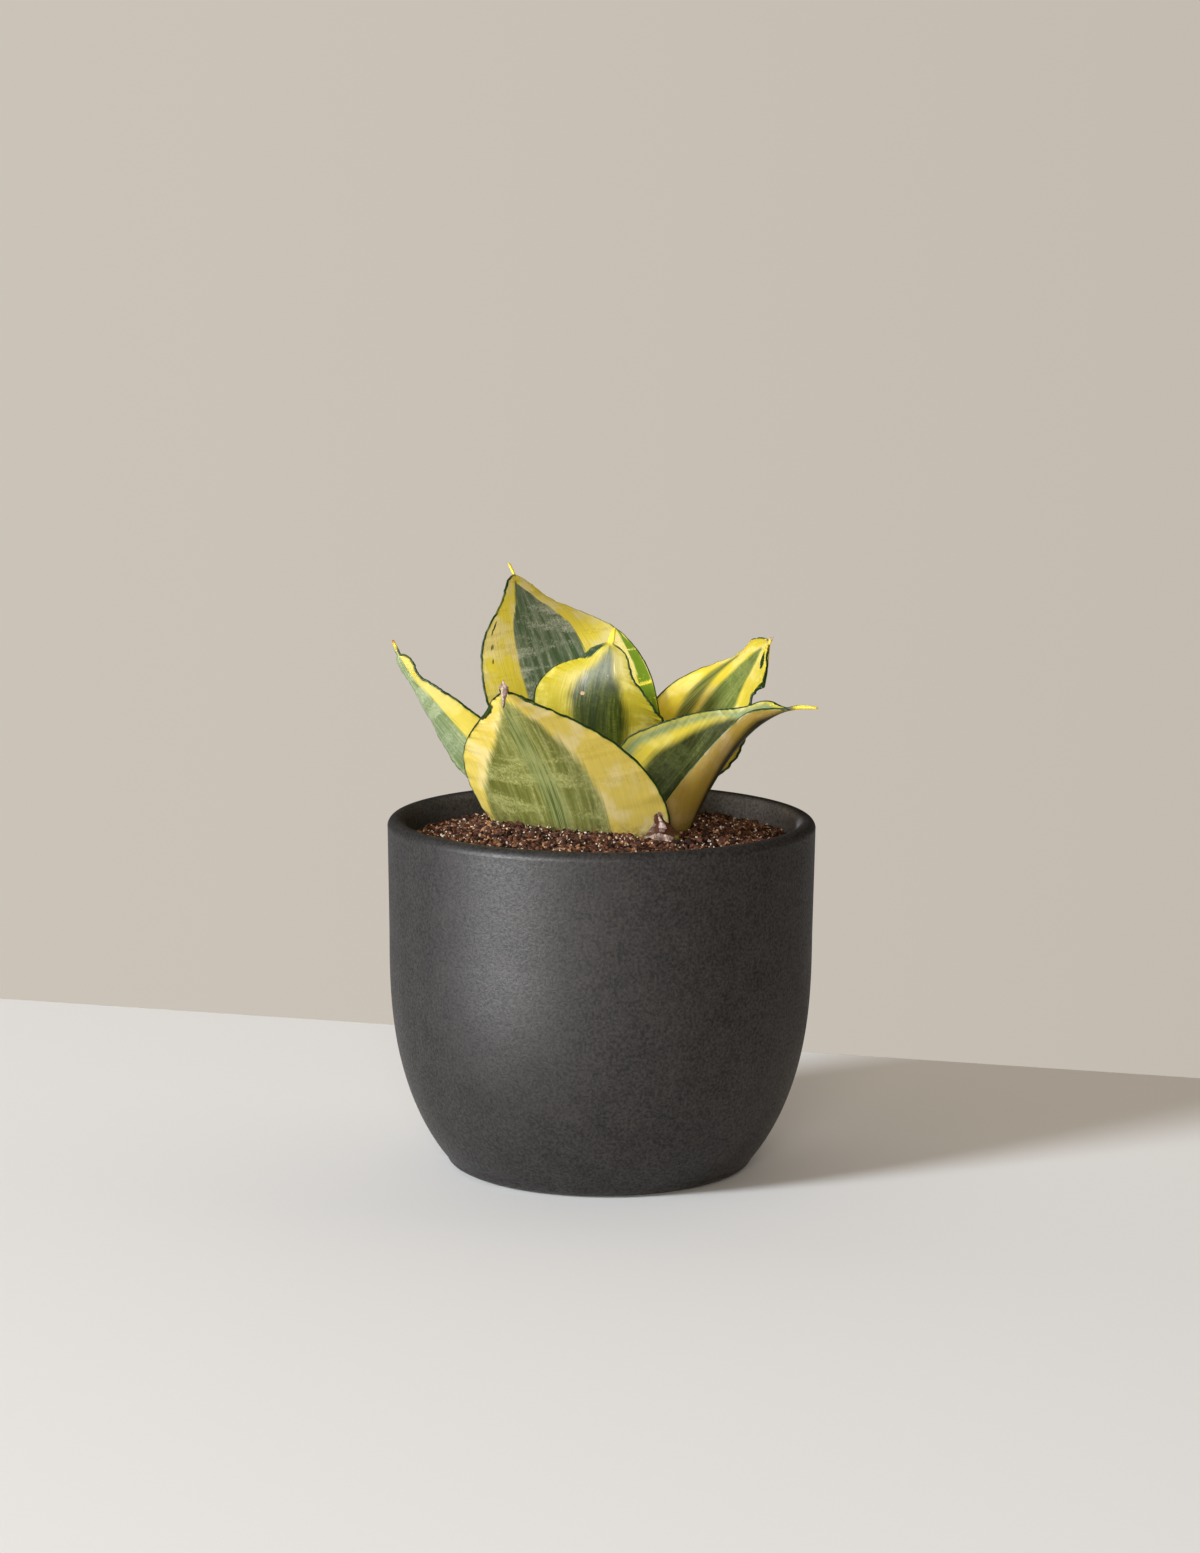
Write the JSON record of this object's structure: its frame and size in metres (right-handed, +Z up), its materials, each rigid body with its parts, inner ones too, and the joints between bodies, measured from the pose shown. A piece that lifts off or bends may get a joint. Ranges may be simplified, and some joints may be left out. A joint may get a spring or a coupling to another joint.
{
  "type": "potted snake plant",
  "caption": "Dwarf bird's-nest snake plant with broad cupped variegated leaves, rooted in potting soil in a round-bellied matt charcoal ceramic pot.",
  "frame": {"origin": "centre of the pot's flat underside, on the surface it stands on", "axes": "+Z up along the pot's axis, -Y towards the side that the broad front leaf turns its outer face to, +X towards the two right-hand leaves"},
  "size_m": [0.13, 0.13, 0.1798],
  "materials": {
    "pot_ceramic": null,
    "potting_soil": null,
    "crown_tissue": null,
    "leaf_blade": null
  },
  "bodies": {
    "root": {"pot": "pot_ceramic", "soil": "potting_soil", "crown": "crown_tissue", "leaf_back": "leaf_blade", "leaf_middle": "leaf_blade", "leaf_front": "leaf_blade", "leaf_left": "leaf_blade", "leaf_right_back": "leaf_blade", "leaf_right_front": "leaf_blade", "scale_leaf": "leaf_blade"}
  },
  "joints": []
}
